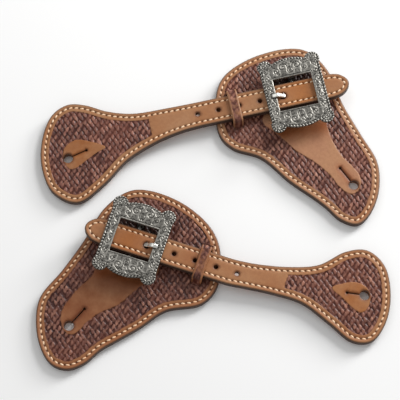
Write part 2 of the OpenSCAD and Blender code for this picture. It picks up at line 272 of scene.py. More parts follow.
def panel_outline(s):
    return resample(curve(PANEL_POINTS[s]), OUTLINE_STEP)


def billet_outline(s):
    h = BILLET_W / 2
    paddle = [(NECK_X + 2 * STRAIGHT_RUN, h), (NECK_X, h)] + PADDLE_POINTS[s] + [
        (NECK_X, -h), (NECK_X + 2 * STRAIGHT_RUN, -h)]
    x = TIP_X[s]
    lower = [(x - TIP_LENGTH - STRAIGHT_RUN, -h), (x - TIP_LENGTH, -h), (x - 7, -h * 0.86),
             (x - 1.8, -h * 0.46)]
    tip = lower + [(x, 0)] + [(a, -b) for a, b in reversed(lower)]
    return resample(np.vstack([curve(paddle, False), curve(tip, False)]), OUTLINE_STEP)


# ---- placing ----


def strap_frame(s):
    """Origin, the u and v directions, the billet's tilt and its height at u = 0, in metres."""
    joints = {j["name"]: j for j in frame["joints"]}
    axis = Vector(joints[f"{SIDES[s]}_billet_pull"]["axis"])
    bar = Vector(joints[f"{SIDES[s]}_buckle_rock"]["pos_m"])
    tilt = math.asin(axis.z)
    u = Vector((axis.x, axis.y, 0)).normalized()
    v = Vector((-u.y, u.x, 0)) * (1 if s == RIGHT else -1)
    origin = bar + u * BAR_Z * MM * math.sin(tilt)
    height = bar.z - BAR_Z * MM * math.cos(tilt)
    return Vector((origin.x, origin.y, 0)), u, v, tilt, height


FRAMES = [strap_frame(s) for s in (RIGHT, LEFT)]


def placed(s, points):
    """Points (u, v, z) in millimetres, put in the row frame."""
    origin, u, v, _, _ = FRAMES[s]
    p = np.asarray(points, float) * MM
    return (np.array(origin) + p[:, :1] * np.array(u) + p[:, 1:2] * np.array(v)
            + p[:, 2:] * np.array((0, 0, 1)))


def tilted(s, points):
    """Points (u, v, w) of the tilted billet's frame, in the strap's own frame."""
    _, _, _, tilt, height = FRAMES[s]
    p = np.asarray(points, float)
    c, n = math.cos(tilt), math.sin(tilt)
    return np.stack([c * p[:, 0] - n * p[:, 2], p[:, 1],
                     height / MM + n * p[:, 0] + c * p[:, 2]], 1)


def on_billet(s, points):
    return placed(s, tilted(s, points))


# ---- meshes ----


def make_piece(name, body, material, points, faces, marks=None, sharp=40):
    """A mesh object from points in the row frame, with its number masks, riding on a body."""
    mesh = bpy.data.meshes.new(name)
    mesh.from_pydata(points.tolist(), [], [list(f) for f in faces])
    for key, values in (marks or {}).items():
        mesh.attributes.new(key, "FLOAT", "POINT").data.foreach_set(
            "value", np.asarray(values, np.float32))
    b = bmesh.new()
    b.from_mesh(mesh)
    bmesh.ops.recalc_face_normals(b, faces=b.faces)
    b.to_mesh(mesh)
    b.free()
    mesh.shade_smooth()
    mesh.set_sharp_from_angle(angle=math.radians(sharp))
    mesh.materials.append(material)
    piece = bpy.data.objects.new(name, mesh)
    bpy.context.scene.collection.objects.link(piece)
    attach(piece, body)
    return piece


def triangulate(loops, extra=()):
    """Triangles inside loops[0] and outside the other loops, through all the points."""
    coords, edges = [], []
    for loop in loops:
        first, n = len(coords), len(loop)
        coords += [Vector(p) for p in loop]
        edges += [(first + i, first + (i + 1) % n) for i in range(n)]
    coords += [Vector(p) for p in extra]
    out = delaunay_2d_cdt(coords, edges, [], 0, 1e-5)
    points = np.array([p[:] for p in out[0]])
    triangles = np.array([t for t in out[2] if len(t) == 3])
    middle = points[triangles].mean(1)
    keep = inside(middle, loops[0])
    for hole in loops[1:]:
        keep &= ~inside(middle, hole)
    return points, triangles[keep]


def numbers_of(loops, points):
    """For each loop, the numbers of its points in a triangulation."""
    tree = KDTree(len(points))
    for i, (x, y) in enumerate(points):
        tree.insert((x, y, 0), i)
    tree.balance()
    return [[tree.find((x, y, 0))[1] for x, y in loop] for loop in loops]


def slab(loops, extra, height, flat_loops, flat_z):
    """A closed solid with a detailed face and a flat one. height gives z and the masks."""
    points, triangles = triangulate(loops, extra)
    flat, flat_triangles = triangulate(flat_loops)
    z, marks = height(points)
    count = len(points)
    faces = [tuple(t) for t in triangles] + [tuple(t[::-1] + count) for t in flat_triangles]
    for ring, flat_ring in zip(numbers_of(loops, points), numbers_of(flat_loops, flat)):
        n = len(ring)
        for i in range(n):
            j = (i + 1) % n
            faces.append((ring[i], ring[j], flat_ring[j] + count, flat_ring[i] + count))
    both = np.vstack([np.column_stack([points, z]),
                      np.column_stack([flat, np.full(len(flat), flat_z)])])
    marks = {k: np.concatenate([v, np.full(len(flat), 1.0 if k == "edge" else 0.0)])
             for k, v in marks.items()}
    return both, faces, marks


def skin(rows, around, first=0, closed=False):
    """The faces of a tube with rows of points round it. An open tube gets two end caps."""
    faces = []
    for i in range(rows if closed else rows - 1):
        a, b = first + i * around, first + (i + 1) % rows * around
        for j in range(around):
            k = (j + 1) % around
            faces.append((a + j, a + k, b + k, b + j))
    if not closed:
        last = first + (rows - 1) * around
        faces += [tuple(range(first, first + around)), tuple(range(last, last + around))]
    return faces


def honeycomb(loop, step):
    """Evenly spread points over a loop's box."""
    low, high = loop.min(0), loop.max(0)
    rows = np.arange(low[1], high[1], step * 0.866)
    cols = np.arange(low[0], high[0], step)
    x, y = np.meshgrid(cols, rows)
    x = x + (np.arange(len(rows)) % 2)[:, None] * step / 2
    return np.stack([x.ravel(), y.ravel()], 1)


def apart(points, others, gap):
    """The points that lie at least gap away from every loop in others."""
    keep = np.ones(len(points), bool)
    for loop in others:
        keep &= nearest(points, loop)[0] > gap
    return points[keep]


def ring_points(loop, depths):
    """Points on loops inside this one, left out where they crowd another part of it."""
    out = []
    for d in depths:
        ring = inset(loop, d)
        out.append(ring[nearest(ring, loop)[0] > d - 0.06])
    return np.vstack(out)


def seam_line(outline):
    """The closed line that the stitches follow, its length and the number of stitches."""
    seam = resample(inset(outline, SEAM_INSET), SEAM_STEP)
    length = np.linalg.norm(seam - np.roll(seam, 1, 0), axis=1).sum()
    return seam, length, round(length / STITCH_PITCH)


def along_seam(seam, share):
    """Points and directions at shares of a closed seam's length."""
    n = len(seam)
    at = (share % 1) * n
    i = np.floor(at).astype(int) % n
    t = (at - np.floor(at))[..., None]
    a, b = seam[i], seam[(i + 1) % n]
    run = b - a
    return a + run * t, run / np.linalg.norm(run, axis=-1, keepdims=True)


def pits(outline):
    """Where the awl went through, halfway between the stitches."""
    seam, _, count = seam_line(outline)
    return along_seam(seam, (np.arange(count) + 0.5) / count)[0]


# ---- the leather's relief ----


def scatter(i, j, seed):
    """A number from 0 to 1 that depends only on the cell."""
    return np.abs(np.sin(i * 12.9898 + j * 78.233 + seed * 37.719) * 43758.5453) % 1


def stamped(points, turn):
    """Rows of upright crescents from a hand stamp, 0 in the ground and 1 on their crests."""
    c, n = math.cos(turn), math.sin(turn)
    x = (c * points[:, 0] + n * points[:, 1]) / STAMP_W
    y = (c * points[:, 1] - n * points[:, 0]) / STAMP_L
    best = np.zeros(len(points))
    for shift in (0, 1):
        i = np.floor(x + 0.5 * shift)
        j = np.floor(y + 0.5 * shift)
        lean = (scatter(i, j, shift) - 0.5) * 0.9
        off = (scatter(j, i, shift + 3) - 0.5) * 0.22
        a = x + 0.5 * shift - i - 0.5 - off
        b = y + 0.5 * shift - j - 0.5 + off
        a = a - lean * b - 0.9 * (b * b - 0.08)
        r = np.abs(a) * 2.9 + b * b * 5.0
        tall = (0.6 + 0.4 * scatter(i, j, shift + 7)) * np.sqrt(np.clip(1.1 - r * r, 0, 1))
        best = np.maximum(best, tall)
    return np.clip(best, 0, 1)


def edge_drop(d, r=ROUND):
    """How far a rounded edge has dropped, at a distance d from it."""
    t = np.clip(1 - d / r, 0, 1)
    return r * 0.8 * (1 - np.sqrt(1 - t * t))


def leather_face(points, outline, holes, awls, field, island, turn):
    """Height above the flat face and the masks of a stitched and tooled upper ply."""
    d, along = nearest(points, outline)
    z = -edge_drop(d)
    z -= GROOVE_D * hump(d - SEAM_INSET, GROOVE_HALF)
    # Awl pits: a shallow dent, and a mask that paints near-black shade into them.
    pit = np.zeros(len(points))
    for part in np.array_split(np.arange(len(points)), 12):
        gap = np.linalg.norm(points[part][:, None] - awls, axis=2).min(1)
        pit[part] = hump(gap, AWL_R)
    z -= AWL_D * pit
    rim = np.full(len(points), 99.0)
    for hole in holes:
        rim = np.minimum(rim, nearest(points, hole)[0])
    z -= 0.3 * (1 - smooth(rim, 0, 0.7))
    crease = hump(d - (BORDER_W - 0.9), 0.3) * (1 - island) * field_near(field)
    stamp = stamped(points, turn)
    z -= 0.12 * crease
    z += field * (STAMP_H * stamp - FIELD_SINK - 0.1)
    z += 0.18 * island * field_near(field)
    marks = {
        "edge": 1 - smooth(d, 0, 1.5),
        "field": field,
        "dye": field,
        "stamp": stamp * field,
        "pit": pit,
        "island": island,
        "crease": crease,
        "rim": 1 - smooth(rim, 0.1, 1.6),
    }
    return z, marks


def tooled(points, outline, island_loop):
    """1 in the tooled field and 0 on the smooth border and island."""
    d = nearest(points, outline)[0]
    return smooth(d, FIELD_IN, FIELD_FULL) * (
        1 - smooth(signed(points, island_loop), -SHORE, SHORE))


def from_slit(points, hole, end):
    """Distance to the middle line of a buttonhole's slit."""
    return nearest(points, np.array([hole, end]), False)[0]


def soft_dye(points, outline, island_loop):
    """How dark the antique dye is: it bleeds a little past the tooled field."""
    d = nearest(points, outline)[0]
    return smooth(d, BORDER_W - 1.3, BORDER_W + 1.1) * (
        1 - smooth(signed(points, island_loop), -1.2, 1.3))


def field_near(field):
    """1 if any of the piece is tooled and 0 if none is, so that a plain piece has no crease."""
    return 1.0 if np.any(field > 0.5) else 0.0


def face_points(outline, loops, field_of, awls, island_loop):
    """The points that a detailed face is drawn through."""
    grid = honeycomb(outline, FIELD_GRID)
    deep = signed(grid, outline)
    fine = grid[deep > BORDER_W + 0.7]
    fine = fine[field_of(fine) > 0.02]
    plain = honeycomb(outline, PLAIN_GRID)
    plain = plain[signed(plain, outline) > BORDER_W + 1.2]
    plain = plain[field_of(plain) <= 0.02]
    rings = ring_points(outline, RINGS)
    shore = np.vstack([inset(island_loop, d) for d in (-0.45, -0.15, 0.15, 0.45, 1.0)])
    ditch = np.vstack([awls] + [circle(0, 0, AWL_R, 6)[k] + awls for k in range(6)])
    lips = np.vstack([inset(loop, -d) for loop in loops[1:] for d in (0.3, 0.7)])
    shore = apart(shore[signed(shore, outline) > BORDER_W + 0.9], loops[1:], HOLE_CLEAR)
    body = apart(np.vstack([rings, fine, plain]), loops[1:], HOLE_CLEAR)
    lips = lips[signed(lips, outline) > 0.3]
    every = np.vstack([body, shore, ditch, lips])
    out = np.ones(len(every), bool)
    for hole in loops[1:]:
        out &= ~inside(every, hole)
    return every[out & inside(every, outline)]


# ---- materials ----


def linear(r, g, b):
    """A colour given as 0 to 255, as the shader's linear numbers."""
    return tuple((c / 255 / 12.92) if c < 11 else ((c / 255 + 0.055) / 1.055) ** 2.4
                 for c in (r, g, b)) + (1.0,)


class Nodes:
    """A short way to build a material's nodes."""

    def __init__(self, name):
        self.material = bpy.data.materials.new(name)
        self.material.use_nodes = True
        self.tree = self.material.node_tree
        self.tree.nodes.clear()
        self.shader = self.tree.nodes.new("ShaderNodeBsdfPrincipled")
        output = self.tree.nodes.new("ShaderNodeOutputMaterial")
        self.link(self.shader.outputs[0], output.inputs[0])
        self.where = self.tree.nodes.new("ShaderNodeTexCoord").outputs["Object"]

    def link(self, a, b):
        self.tree.links.new(a, b)

    def put(self, socket, value):
        if isinstance(value, bpy.types.NodeSocket):
            self.link(value, socket)
        else:
            socket.default_value = value

    def noise(self, scale, detail=4.0, roughness=0.55, stretch=None):
        node = self.tree.nodes.new("ShaderNodeTexNoise")
        node.inputs["Scale"].default_value = scale
        node.inputs["Detail"].default_value = detail
        node.inputs["Roughness"].default_value = roughness
        place = self.where
        if stretch:
            mapping = self.tree.nodes.new("ShaderNodeMapping")
            mapping.inputs["Scale"].default_value = stretch
            self.link(self.where, mapping.inputs["Vector"])
            place = mapping.outputs[0]
        self.link(place, node.inputs["Vector"])
        return node.outputs["Fac"]

    def patches(self, scale, detail, low=0.3, high=0.7, to_low=0.0, to_high=1.0):
        """Soft patches of noise, spread over a range."""
        return self.spread(self.noise(scale, detail), low, high, to_low, to_high)

    def cells(self, scale):
        node = self.tree.nodes.new("ShaderNodeTexVoronoi")
        node.inputs["Scale"].default_value = scale
        self.link(self.where, node.inputs["Vector"])
        return node.outputs["Distance"]

    def mask(self, name):
        node = self.tree.nodes.new("ShaderNodeAttribute")
        node.attribute_name = name
        return node.outputs["Fac"]

    def math(self, operation, a, b=0.0, clamp=False):
        node = self.tree.nodes.new("ShaderNodeMath")
        node.operation = operation
        node.use_clamp = clamp
        self.put(node.inputs[0], a)
        self.put(node.inputs[1], b)
        return node.outputs[0]

    def spread(self, value, low, high, to_low=0.0, to_high=1.0):
        node = self.tree.nodes.new("ShaderNodeMapRange")
        self.put(node.inputs["Value"], value)
        for key, number in (("From Min", low), ("From Max", high), ("To Min", to_low),
                            ("To Max", to_high)):
            node.inputs[key].default_value = number
        return node.outputs["Result"]

    def mix(self, share, a, b):
        node = self.tree.nodes.new("ShaderNodeMix")
        node.data_type = "RGBA"
        self.put(node.inputs[0], share)
        self.put(node.inputs[6], a)
        self.put(node.inputs[7], b)
        return node.outputs[2]

    def bump(self, height, distance, strength=1.0, below=None):
        node = self.tree.nodes.new("ShaderNodeBump")
        node.inputs["Strength"].default_value = strength
        node.inputs["Distance"].default_value = distance
        self.link(height, node.inputs["Height"])
        if below is not None:
            self.link(below, node.inputs["Normal"])
        return node.outputs[0]

    def finish(self, colour, roughness, normal=None, **numbers):
        self.put(self.shader.inputs["Base Color"], colour)
        self.put(self.shader.inputs["Roughness"], roughness)
        if normal is not None:
            self.link(normal, self.shader.inputs["Normal"])
        for key, value in numbers.items():
            self.shader.inputs[key.replace("_", " ")].default_value = value
        return self.material


def leather_material(name, *colours):
    """Waxed vegetable-tanned leather: smooth, antiqued where it is stamped, burnished edges, with
    painted shade on its side walls, in its awl pits and under the buckle, and a partly painted sheen
    on the stamp's crests.
    """
    n = Nodes(name)
    plain, pale, island, stain, ground, crest, rim = (linear(*c) for c in colours)
    blotch = n.patches(45, 3)
    fine = n.noise(420, 5, 0.6)
    colour = n.mix(blotch, plain, pale)
    isle = n.mix(n.patches(70, 4, 0.3, 0.75), island, pale)
    colour = n.mix(n.mask("island"), colour, isle)
    # The stain mask holds real stain round the slits and near the bar, and on the panel a painted
    # shade patch just below the buckle.
    patchy_stain_and_shade = n.patches(110, 3, 0.2, 0.75, 0.6, 1.0)
    colour = n.mix(n.math("MULTIPLY", n.mask("stain"), patchy_stain_and_shade), colour, stain)
    colour = n.mix(n.spread(fine, 0.35, 0.7, 0.0, 0.22), colour, linear(120, 66, 40))
    # The stamp's crests are lighter from rubbed wear, and their paler tone is partly a painted sheen.
    ridge = n.mix(n.patches(300, 3, 0.35, 0.7), crest, linear(196, 140, 116))
    hollow = n.mix(n.patches(60, 3), ground, linear(100, 52, 38))
    worn_and_painted_sheen = n.math("MULTIPLY", n.spread(n.mask("stamp"), 0.35, 0.95),
                  n.patches(200, 3, 0.35, 0.65, 0.25, 1.0))
    tooled = n.mix(worn_and_painted_sheen, hollow, ridge)
    dyed = n.math("ADD", n.mask("dye"), n.patches(260, 4, 0.3, 0.7, -0.2, 0.2))
    colour = n.mix(n.spread(dyed, 0.3, 0.7), colour, tooled)
    # The pit mask paints near-black shade into the awl pits and over the panel under the buckle.
    for mask, share, dark in (("crease", 0.4, (126, 88, 52)), ("rim", 0.7, (92, 46, 20)),
                              ("pit", 0.97, (46, 20, 10))):
        colour = n.mix(n.math("MULTIPLY", n.mask(mask), share), colour, linear(*dark))
    colour = n.mix(n.spread(n.mask("edge"), 0.1, 0.4, 0.0, 0.75), colour, rim)
    # Side walls: a dark edge colour, darkened further as painted shade.
    side = n.mix(n.noise(300, 4), linear(38, 26, 20), linear(84, 62, 48))
    colour = n.mix(n.spread(n.mask("edge"), 0.72, 0.98), colour, side)
    rough = n.math("ADD", n.spread(fine, 0.2, 0.8, 0.36, 0.56),
                   n.math("MULTIPLY", n.mask("field"), -0.06))
    grain = n.bump(n.cells(1500), 0.00006, 0.35)
    grain = n.bump(n.noise(700, 6, 0.7), 0.00012, 0.5, grain)
    return n.finish(colour, rough, grain, Specular_IOR_Level=0.32)


def lining_material():
    n = Nodes("lining_leather")
    colour = n.mix(n.patches(60, 4), linear(150, 98, 62), linear(176, 122, 82))
    colour = n.mix(n.spread(n.noise(900, 5, 0.7), 0.5, 0.8), colour, linear(118, 72, 44))
    # Side walls: a dark edge colour, darkened further as painted shade.
    side = n.mix(n.noise(300, 4), linear(52, 36, 30), linear(86, 60, 48))
    colour = n.mix(n.spread(n.mask("edge"), 0.3, 0.9), colour, side)
    fibre = n.bump(n.noise(1100, 8, 0.75), 0.00025, 0.6)
    return n.finish(colour, n.patches(200, 3, 0.2, 0.8, 0.6, 0.8), fibre)


def thread_material():
    n = Nodes("thread")
    colour = n.mix(n.patches(500, 4), linear(242, 190, 144), linear(255, 232, 200))
    fibre = n.bump(n.noise(2600, 4, 0.6), 0.00008, 0.6)
    return n.finish(colour, n.patches(900, 2, 0.3, 0.7, 0.45, 0.62), fibre,
                    Sheen_Weight=0.15)


def silver_material():
    """Silver plate, dark with oxide in the engraving."""
    n = Nodes("buckle_silver")
    metal = n.mix(n.patches(160, 4), linear(140, 137, 130), linear(178, 175, 167))
    oxide = n.mix(n.noise(400, 3), linear(34, 33, 32), linear(70, 68, 64))
    dark = n.math("ADD", n.mask("cut"), n.spread(n.noise(900, 4, 0.6), 0.48, 0.66, 0.0, 0.6), True)
    colour = n.mix(dark, metal, oxide)
    rough = n.math("ADD", n.patches(500, 4, 0.3, 0.7, 0.34, 0.5),
                   n.math("MULTIPLY", n.mask("cut"), 0.25))
    marks = n.bump(n.noise(1300, 5, 0.65), 0.00008, 0.5)
    return n.finish(colour, rough, marks, Metallic=0.92)


def steel_material():
    n = Nodes("tongue_steel")
    colour = n.mix(n.patches(200, 4, 0.35, 0.7), linear(222, 221, 214), linear(246, 245, 239))
    brushed = n.bump(n.noise(900, 3, 0.6, (0.15, 1, 1)), 0.00003, 0.4)
    return n.finish(colour, n.patches(300, 4, 0.3, 0.7, 0.2, 0.34), brushed, Metallic=1.0)


def brass_material():
    n = Nodes("rivet_brass")
    colour = n.mix(n.noise(350, 4), linear(150, 118, 62), linear(198, 164, 98))
    dents = n.bump(n.noise(700, 4), 0.00006, 0.5)
    return n.finish(colour, n.patches(300, 3, 0.3, 0.7, 0.3, 0.5), dents, Metallic=1.0)


def chape_material():
    n = Nodes("chape_leather")
    colour = n.mix(n.patches(90, 4), linear(112, 70, 44), linear(140, 92, 60))
    grain = n.bump(n.noise(800, 6, 0.7), 0.00018, 0.6)
    return n.finish(colour, n.patches(300, 3, 0.2, 0.8, 0.45, 0.65), grain)


MATERIALS = {
    "lining": lining_material(),
    "thread": thread_material(),
    "silver": silver_material(),
    "steel": steel_material(),
    "brass": brass_material(),
    "chape": chape_material(),
}
PANEL_LEATHER = [
    leather_material("tooled_leather_right", (164, 108, 70), (180, 132, 94), (176, 124, 92),
                     (150, 78, 30), (68, 30, 22), (156, 104, 90), (128, 100, 80)),
    leather_material("tooled_leather_left", (154, 96, 58), (166, 114, 76), (128, 70, 32),
                     (116, 58, 20), (56, 23, 18), (122, 76, 66), (112, 74, 52)),
]
STRAP_LEATHER = [
    leather_material("strap_leather_right", (162, 106, 64), (174, 126, 88), (150, 90, 42),
                     (176, 106, 44), (62, 27, 21), (142, 90, 78), (122, 90, 66)),
    leather_material("strap_leather_left", (160, 102, 62), (174, 124, 84), (158, 96, 46),
                     (160, 94, 36), (68, 30, 23), (144, 92, 76), (118, 86, 62)),
]


# ---- leather pieces ----


def panel_piece(s):
    side = SIDES[s]
    outline = panel_outline(s)
    island_loop = resample(curve(PANEL_ISLAND[s]), 1.0)
    bx = BRIDGE_X[s]
    tail = [(-WINDOW_X, -WINDOW_Y), (WINDOW_X, -WINDOW_Y), (WINDOW_X, -TAIL_Y), (TAIL_X, -TAIL_Y),
            (TAIL_X, TAIL_Y), (WINDOW_X, TAIL_Y), (WINDOW_X, WINDOW_Y), (-WINDOW_X, WINDOW_Y)]
    loops = [outline, keyhole(PANEL_HOLE[s], PANEL_SLIT_END[s]), resample_corners(tail, 1.6),
             rectangle(bx - BRIDGE_W / 2, bx + BRIDGE_W / 2, -FOOT_Y, FOOT_Y)]
    awls = pits(outline)

    def field_of(p):
        return tooled(p, outline, island_loop)

    def height(p):
        island = smooth(signed(p, island_loop), -SHORE, SHORE + 0.1)
        z, marks = leather_face(p, outline, loops[1:2], awls, field_of(p), island,
                                STAMP_TURN[s])
        slit = from_slit(p, PANEL_HOLE[s], PANEL_SLIT_END[s])
        # A darker patch on the island just below the buckle: painted shade, carried in the stain mask
        # with the real stain round the slit.
        low = island * hump(p[:, 1] + 26, 7.0)
        z -= 0.25 * hump(slit, 1.5)
        marks["stain"] = np.clip(1.1 * hump(slit, 2.8) + 0.95 * low, 0, 1)
        marks["dye"] = soft_dye(p, outline, island_loop)
        # Painted shade: the panel under the buckle is painted near black through the pit mask.
        painted_shade_under_buckle = smooth(np.abs(p[:, 0]), 17, 15) * smooth(np.abs(p[:, 1]), 20, 17)
        marks["pit"] = np.maximum(marks["pit"], painted_shade_under_buckle)
        return PANEL_T + z, marks

    flat_loops = [inset(outline, PLY_INSET)] + loops[1:]
    extra = face_points(outline, loops, field_of, awls, island_loop)
    points, faces, marks = slab(loops, extra, height, flat_loops, PLY)
    piece = make_piece(f"{side}_panel_tooled", f"{side}_panel",
                       PANEL_LEATHER[s], placed(s, points), faces, marks)
    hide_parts(f"{side}_panel_top")
    lining_piece(s, "panel", outline, loops[1:2] + [circle(RIVET_X, y, RIVET_R, 16)
                                                    for y in (-RIVET_Y, RIVET_Y)], None)
    seam_piece(s, "panel", outline, placed, PANEL_T - STITCH_DROP, 1)
    seam_piece(s, "panel", outline, placed, BACK_SEAM_Z, -1)


def stretched(loop, front):
    """The tongue's round hole drawn out to a slot that ends at front."""
    reach = (front - TONGUE_HOLE_X) / TONGUE_HOLE_R
    x = loop[:, 0] - TONGUE_HOLE_X
    return np.stack([TONGUE_HOLE_X + np.where(x > 0, x * reach, x), loop[:, 1]], 1)


def billet_piece(s):
    side = SIDES[s]
    outline = billet_outline(s)
    island_loop = resample(curve(PADDLE_ISLAND[s]), 1.0)
    tongue_hole = circle(TONGUE_HOLE_X, 0, TONGUE_HOLE_R)
    others = [keyhole(PADDLE_HOLE[s], PADDLE_SLIT_END[s])] + [
        circle(ADJUST_X[s] - i * ADJUST_PITCH, 0, ADJUST_R) for i in range(ADJUST_COUNT)]
    loops = [outline] + others + [tongue_hole]
    awls = pits(outline)

    def field_of(p):
        neck = smooth(p[:, 0], FIELD_END[s] - 0.2, FIELD_END[s] + 0.2)
        return tooled(p, outline, island_loop) * (1 - neck)

    def height(p):
        island = smooth(signed(p, island_loop), -SHORE, SHORE + 0.1)
        z, marks = leather_face(p, outline, loops[1:], awls, field_of(p), island,
                                STAMP_TURN[s])
        straight = smooth(p[:, 0], FIELD_END[s] + 1, FIELD_END[s] + 8)
        marks["crease"] *= 1 - straight
        slit = from_slit(p, PADDLE_HOLE[s], PADDLE_SLIT_END[s])
        marks["stain"] = np.clip(0.9 * hump(slit, 2.2) + 0.8 * hump(p[:, 0] - 4, 11), 0, 1)
        return BILLET_T + z, marks

    flat_loops = [inset(outline, PLY_INSET)] + others + [stretched(tongue_hole, TONGUE_SLOT_X[0])]
    extra = face_points(outline, loops, field_of, awls, island_loop)
    points, faces, marks = slab(loops, extra, height, flat_loops, PLY)
    piece = make_piece(f"{side}_billet_tooled", f"{side}_billet",
                       STRAP_LEATHER[s], on_billet(s, points), faces, marks)
    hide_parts(f"{side}_billet_top")
    lining_piece(s, "billet", outline, others, tongue_hole)
    seam_piece(s, "billet", outline, on_billet, BILLET_T - STITCH_DROP, 1)
    seam_piece(s, "billet", outline, on_billet, BACK_SEAM_Z, -1)


def lining_piece(s, part, outline, holes, tongue_hole):
    """The lining under a panel or billet, rounded and grooved on its underside."""
    side = SIDES[s]
    loops, flat_loops = [outline] + holes, [inset(outline, PLY_INSET)] + holes
    if tongue_hole is not None:
        loops = loops + [stretched(tongue_hole, TONGUE_SLOT_X[1])]
        flat_loops = flat_loops + [stretched(tongue_hole, TONGUE_SLOT_X[0])]
    rings = ring_points(outline, BACK_RINGS)
    grid = honeycomb(outline, 3.5)
    grid = grid[signed(grid, outline) > 7]
    extra = apart(np.vstack([rings, grid]), loops[1:], 0.8)
    for hole in loops[1:]:
        extra = extra[~inside(extra, hole)]

    def height(p):
        d = nearest(p, outline)[0]
        z = edge_drop(d, BACK_ROUND) + BACK_GROOVE_D * hump(d - SEAM_INSET, BACK_GROOVE_HALF)
        return z, {"edge": 1 - smooth(d, 0, BACK_ROUND)}

    points, faces, marks = slab(loops, extra, height, flat_loops, PLY)
    put = placed if part == "panel" else on_billet
    piece = make_piece(f"{side}_{part}_backing", f"{side}_{part}",
                       MATERIALS["lining"], put(s, points), faces, marks)
    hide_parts(f"{side}_{part}_lining")


def seam_piece(s, part, outline, put, z, up):
    """A row of lockstitches along the outline, each a short twisted grain of thread."""
    side = SIDES[s]
    seam, length, count = seam_line(outline)
    rings, segments = 9, 8
    t = np.linspace(-1, 1, rings)
    share = (np.arange(count)[:, None] + t * STITCH_L / 2 * count / length) / count
    middle, run = along_seam(seam, share)
    normal = np.stack([-run[..., 1], run[..., 0]], -1)
    middle = middle + normal * (t * STITCH_SLANT)[:, None]
    rise = STITCH_RISE * (1 - t ** 2) - 0.3 * np.abs(t) ** 3
    girth = np.sqrt(np.clip(1 - 0.94 * t ** 4, 0, 1))
    a = np.arange(segments) * 2 * math.pi / segments
    twist = 1 + 0.14 * np.cos(2 * a[None, :] - 4.5 * t[:, None])
    across = STITCH_R * girth[:, None] * twist * np.cos(a)
    above = 0.62 * STITCH_R * girth[:, None] * twist * np.sin(a)
    flat = middle[:, :, None, :] + normal[:, :, None, :] * across[..., None]
    high = np.broadcast_to(z + up * (rise[:, None] + above), flat.shape[:3])
    points = np.concatenate([flat, high[..., None]], -1).reshape(-1, 3)
    faces = []
    for k in range(count):
        faces += skin(rings, segments, k * rings * segments)
    node = "seam" if up > 0 else "back_seam"
    piece = make_piece(f"{side}_{part}_{node}_stitches", f"{side}_{part}",
                       MATERIALS["thread"], put(s, points), faces, sharp=80)
    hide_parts(f"{side}_{part}_{node}")


def bridge_piece(s):
    """The strip of the upper ply that is raised over the billet."""
    side = SIDES[s]
    _, _, _, tilt, height = FRAMES[s]
    h = BILLET_W / 2
    under = height / MM + (BRIDGE_X[s] + BRIDGE_W / 2) * math.tan(tilt) + BILLET_T + BRIDGE_GAP
    half = [(FOOT_Y + 2, PLY), (FOOT_Y, PLY), (FOOT_Y - 1.6, PLY + 0.3), (h + 3.1, PLY + 2.4),
            (h + 1.9, under - 1.1), (h + 0.7, under - 0.1), (h - 1.8, under + 0.06),
            (0, under + 0.1)]
    profile = half + [(-y, z) for y, z in reversed(half[:-1])]
    path = curve(profile, False, 10)
    out = -normals(path)
    half_w = BRIDGE_W / 2 - 0.12
    left = [(-1, 0.0), (-1, 0.55), (-0.94, 0.86), (-0.8, 1.0), (-0.6, 1.02), (-0.4, 1.03),
            (-0.2, 1.04)]
    across = left + [(0, 1.04)] + [(-x, share) for x, share in reversed(left)]
    points, field, dye, edge, stamp = [], [], [], [], []
    for (y, z), (ny, nz) in zip(path, out):
        for x, share in across:
            u = BRIDGE_X[s] + x * half_w
            mark = float(stamped(np.array([[u, y * 1.2]]), STAMP_TURN[s])[0])
            face = 1.0 if abs(x) < 0.7 else 0.0
            pale = 0.4 * (1 - smooth(abs(y), h - 1, h + 2))
            thick = 0.95 * BRIDGE_T * share - 0.3 * (1 - mark) * face
            points.append((u, y + ny * thick, z + nz * thick))
            field.append(face)
            dye.append(max(face * (1 - pale), smooth(abs(y), h + 2, h + 4)))
            stamp.append(mark * face)
            edge.append(0.25 if 0.7 < abs(x) < 0.95 else 0.0)
    faces = skin(len(path), len(across))
    zero = np.zeros(len(points))
    marks = {"field": field, "dye": dye, "stamp": stamp, "edge": edge, "pit": zero, "island": zero,
             "crease": zero, "rim": zero, "stain": zero}
    piece = make_piece(f"{side}_bridge_strip", f"{side}_panel",
                       PANEL_LEATHER[s], placed(s, points), faces, marks)
    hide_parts(f"{side}_bridge")


# ---- buckle ----


def frame_radius(a):
    """Distance from the buckle's middle to its outline in the direction a."""
    c, n = abs(math.cos(a)), abs(math.sin(a))
    reach = min(SIDE_X / max(c, 1e-9), SIDE_Y / max(n, 1e-9))
    along = c * LOBE_X + n * LOBE_Y
    off = LOBE_R ** 2 - (c * LOBE_Y - n * LOBE_X) ** 2
    if off > 0:
        reach = max(reach, along + math.sqrt(off))
    bow_r = (BOW_HALF ** 2 + BOW_RISE ** 2) / (2 * BOW_RISE)
    centre = SIDE_Y + BOW_RISE - bow_r
    bow = n * centre + math.sqrt(max(0, bow_r ** 2 - (c * centre) ** 2))
    if bow * c < BOW_HALF:
        reach = max(reach, bow)
    return reach


BEAD_PITCH, BEAD_AT, BEAD_R = 2.3, 0.9, 0.88    # the beads round the frame's outer edge
SCROLL_LINE = 0.2                               # half width of an engraved line
RIM_AT, RIM_HALF = 0.55, 0.6                    # the raised rim round the opening
FRAME_GRID = 0.4
OUTER_RINGS = (0.1, 0.25, 0.45, 0.75, 1.05, 1.3, 1.5)
INNER_RINGS = (0.12, 0.35, 0.6)
BACK_TARNISH, LUG_TARNISH, NOTCH_TARNISH = 0.45, 0.25, 0.35


